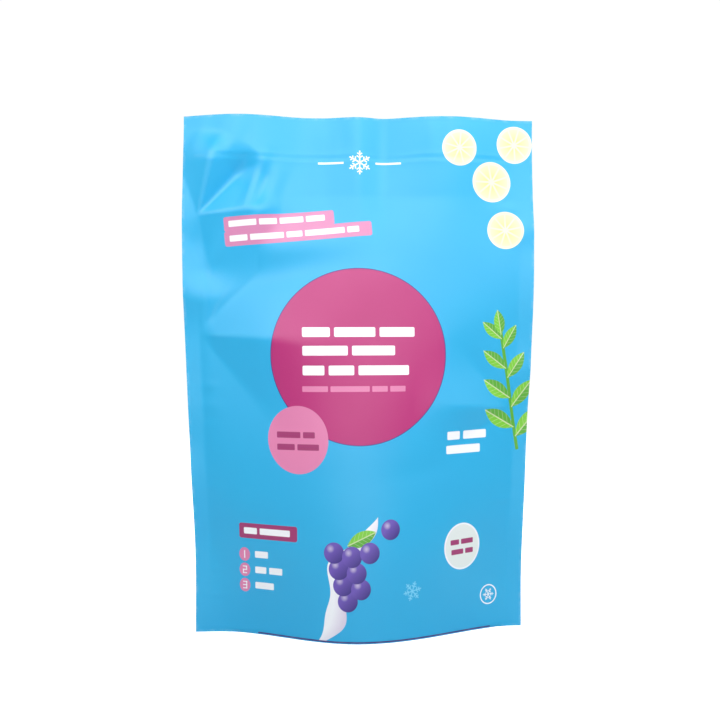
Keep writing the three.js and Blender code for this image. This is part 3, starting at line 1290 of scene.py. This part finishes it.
@dataclass(frozen=True)
class FilmFinish:
    """Matt printed laminate.

    Attributes:
        name: name of the material.
        ground: colour of the plain film.
        roughness: roughness of the matt lacquer.
        cloud_roughness: what the clouds add to it.
        worn_roughness: what the worn places add to it.
        lacquer: strength of the lacquer's sheen, where 0.5 is that of common plastic.
        cloud_share: how much the clouds darken the colour.
        grain_height: height of the grain in metres.
        wear_share: how much the worn places turn pale.
        half_width: half the film's width.
        height: the film's height.
    """

    name: str
    ground: Ink = Ink.BLUE
    roughness: float = 0.43
    cloud_roughness: float = 0.05
    worn_roughness: float = 0.12
    lacquer: float = 0.8
    cloud_share: float = 0.05
    grain_height: float = 0.00002
    wear_share: float = 0.16
    half_width: float = 90
    height: float = 261.5

    def build(self, marks: list[Mark], groups: dict[object, NodeTree]) -> Material:
        """Builds the material: ground colour, the print's marks in order, clouds, and wear.

        Args:
            marks: the print, from the lowest layer up.
            groups: the node groups of the shapes, and those of the grain and the wear.

        Returns:
            The new material.
        """
        material, graph, shader = new_material(self.name)
        mapped = graph.output(graph.add("ShaderNodeUVMap", uv_map=PRINT_MAP))
        place = graph.vector("MULTIPLY", mapped, (1 / METRES,) * 3)
        colour: object = self.ground.colour()
        for mark in marks:
            colour = mark.lay(graph, groups[mark.shape], place, colour)
        texture = graph.fill(graph.add("ShaderNodeGroup", node_tree=groups["grain"]), Place=place)
        cloud = graph.output(texture, "Cloud")
        dark = graph.blend(1.0, colour, colour, "MULTIPLY")
        clouded = graph.blend(cloud * self.cloud_share, colour, dark)
        scuffs = graph.add("ShaderNodeGroup", node_tree=groups["wear"])
        graph.fill(scuffs, Place=place, Half_Width=self.half_width, Height=self.height)
        crease = graph.add("ShaderNodeAttribute", attribute_name=CREASE_ATTRIBUTE)
        graph.fill(scuffs, Crease=graph.output(crease, "Fac"))
        mask = graph.output(scuffs)
        bumped = graph.add("ShaderNodeBump")
        graph.fill(bumped, Strength=1.0, Distance=self.grain_height, Height=graph.output(texture, "Height"))
        rough = mask * self.worn_roughness + (cloud * self.cloud_roughness + self.roughness)
        worn = graph.blend(mask * self.wear_share, clouded, Ink.WHITE.colour())
        graph.fill(shader, Base_Color=worn, Roughness=rough, Normal=graph.output(bumped))
        shader.inputs["Specular IOR Level"].default_value = self.lacquer
        return material


@dataclass(frozen=True)
class CutEdgeFinish:
    """The cut edge of the laminate, where its pale core shows between the plies."""

    name: str = "cut edge"
    roughness: float = 0.6
    streak_scale: float = 900

    def build(self) -> Material:
        """Builds the material: pale blue and blue streaks along the cut.

        Returns:
            The new material.
        """
        material, graph, shader = new_material(self.name)
        place = graph.output(graph.add("ShaderNodeTexCoord"), "Object")
        streaks = graph.noise(place, self.streak_scale).fade(0.35, 0.65)
        colour = graph.blend(streaks, Ink.ICE.colour(), Ink.BLUE.colour())
        graph.fill(shader, Base_Color=colour, Roughness=self.roughness)
        return material


@dataclass
class Studio:
    """A plain white floor and sky, soft lights, and the camera at the photo's place.

    Attributes:
        camera_turn: the camera's angle round the pouch from straight in front, in degrees.
        camera_distance: its level distance from the pouch's middle, in metres.
        camera_height: its height above the floor, in metres.
        camera_pitch: how far it looks down, in degrees.
        focal_pixels: its focal length in pixels of the picture.
        picture_pixels: the picture's side in pixels.
    """

    camera_turn: float = -4.10
    camera_distance: float = 0.573
    camera_height: float = 0.1596
    camera_pitch: float = 2.105
    focal_pixels: float = 1121.4
    picture_pixels: float = 720
    sensor: float = 36
    floor_half: float = 6
    floor_glow: float = 0.9
    sky_light: float = 0.2
    sky_seen: float = 1.02
    lights: list[tuple] = field(
        default_factory=lambda: [
            ("key", (0.08, -0.22, 0.38), (0.0, 0.0, 0.15), (0.8, 0.3), 1.65),
            ("fill", (-0.3, -0.25, 0.4), (0.0, 0.0, 0.15), (0.3, 0.3), 0.5),
            ("front", (0.1, -1.7, 0.5), (0.0, 0.0, 0.13), (1.2, 0.8), 5.5),
            ("left", (-0.9, 0.0, 0.45), (0.0, 0.0, 0.12), (0.6, 0.8), 0.3),
            ("right", (0.9, 0.0, 0.45), (0.0, 0.0, 0.12), (0.6, 0.8), 1.2),
            ("back", (0.1, 0.7, 0.6), (0.0, 0.0, 0.12), (0.8, 0.5), 6.0),
        ]
    )

    def build(self) -> None:
        """Makes the sky, the floor, the lights and the camera."""
        self.sky()
        self.floor()
        for name, place, target, size, power in self.lights:
            self.light(name, place, target, size, power)
        self.camera()

    def sky(self) -> None:
        """A white sky that lights softly and is plain white to the camera."""
        world = bpy.data.worlds.new("sky")
        world.use_nodes = True
        graph = Graph(world.node_tree)
        seen = graph.output(graph.add("ShaderNodeLightPath"), "Is Camera Ray")
        strength = seen * (self.sky_seen - self.sky_light) + self.sky_light
        graph.fill(world.node_tree.nodes["Background"], Color=(1, 1, 1, 1), Strength=strength)
        bpy.context.scene.world = world
        bpy.context.scene.view_settings.view_transform = "Standard"

    def floor(self) -> None:
        """A plain white floor, a little self-lit so that it melts into the sky."""
        mesh = bpy.data.meshes.new("floor")
        corners = [(-1, -1, 0), (1, -1, 0), (1, 1, 0), (-1, 1, 0)]
        mesh.from_pydata(np.multiply(corners, self.floor_half).tolist(), [], [(0, 1, 2, 3)])
        material, graph, shader = new_material("floor")
        seen = graph.output(graph.add("ShaderNodeLightPath"), "Is Camera Ray")
        graph.fill(shader, Base_Color=(0.7, 0.7, 0.7, 1), Roughness=0.9, Specular_IOR_Level=0)
        graph.fill(shader, Emission_Color=(1, 1, 1, 1), Emission_Strength=seen * self.floor_glow)
        mesh.materials.append(material)
        floor = bpy.data.objects.new("floor", mesh)
        bpy.context.scene.collection.objects.link(floor)

    def light(self, name: str, place: tuple, target: tuple, size: tuple, power: float) -> None:
        """Adds one soft box that faces a target.

        Args:
            name: its name.
            place: its place in metres.
            target: the point that it faces.
            size: its width and height in metres.
            power: its power in watts.
        """
        data = bpy.data.lights.new(name, "AREA")
        data.shape = "RECTANGLE"
        data.size, data.size_y = size
        data.energy = power
        lamp = bpy.data.objects.new(name, data)
        lamp.location = place
        lamp.rotation_euler = (Vector(target) - Vector(place)).to_track_quat("-Z", "Y").to_euler()
        bpy.context.scene.collection.objects.link(lamp)

    def camera(self) -> None:
        """Adds the camera, looking level past the pouch's middle and a little down."""
        data = bpy.data.cameras.new("camera")
        data.sensor_width = self.sensor
        data.lens = self.focal_pixels / self.picture_pixels * self.sensor
        turn = math.radians(self.camera_turn)
        camera = bpy.data.objects.new("camera", data)
        camera.location = (
            math.sin(turn) * self.camera_distance,
            -math.cos(turn) * self.camera_distance,
            self.camera_height,
        )
        camera.rotation_euler = (math.radians(90 - self.camera_pitch), 0.0, turn)
        bpy.context.scene.collection.objects.link(camera)
        bpy.context.scene.camera = camera


def centre(sheets: list[Sheet]) -> None:
    """Moves the sheets' meshes together, so that their common box stands over the origin.

    Args:
        sheets: the pouch's sheets.
    """
    points = []
    for sheet in sheets:
        flat = np.empty(len(sheet.mesh.vertices) * 3)
        sheet.mesh.vertices.foreach_get("co", flat)
        points.append(flat.reshape(-1, 3))
    everything = np.concatenate(points)
    middle = (everything.min(axis=0) + everything.max(axis=0)) / 2
    middle[2] = 0
    for sheet, own in zip(sheets, points):
        sheet.mesh.vertices.foreach_set("co", (own - middle).ravel())
        sheet.mesh.update()


def main() -> None:
    """Builds the pouch's sheets, dresses them, and sets up the studio."""
    logging.basicConfig(level=logging.INFO, format="%(name)s: %(message)s")
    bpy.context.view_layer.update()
    form = PouchForm()
    groups = {shape: Stencil(shape).graph.tree for shape in Shape}
    groups |= {"grain": FilmEffects().grain(), "wear": FilmEffects().wear()}
    cut_edge = CutEdgeFinish().build()
    front_film = FilmFinish("front film").build(front_print(), groups)
    back_film = FilmFinish("back film").build(back_print(), groups)
    plain_film = FilmFinish("gusset film").build([], groups)
    sheets = [
        Panel(form, Side.FRONT).build("front_panel", front_film, cut_edge),
        Panel(form, Side.BACK).build("back_panel", back_film, cut_edge),
        Gusset(form).build("gusset", plain_film, cut_edge),
    ]
    centre(sheets)
    for sheet in sheets:
        LOG.info("%s: %d faces", sheet.piece.name, len(sheet.mesh.polygons))
    Studio().build()


if __name__ == "__main__":
    main()
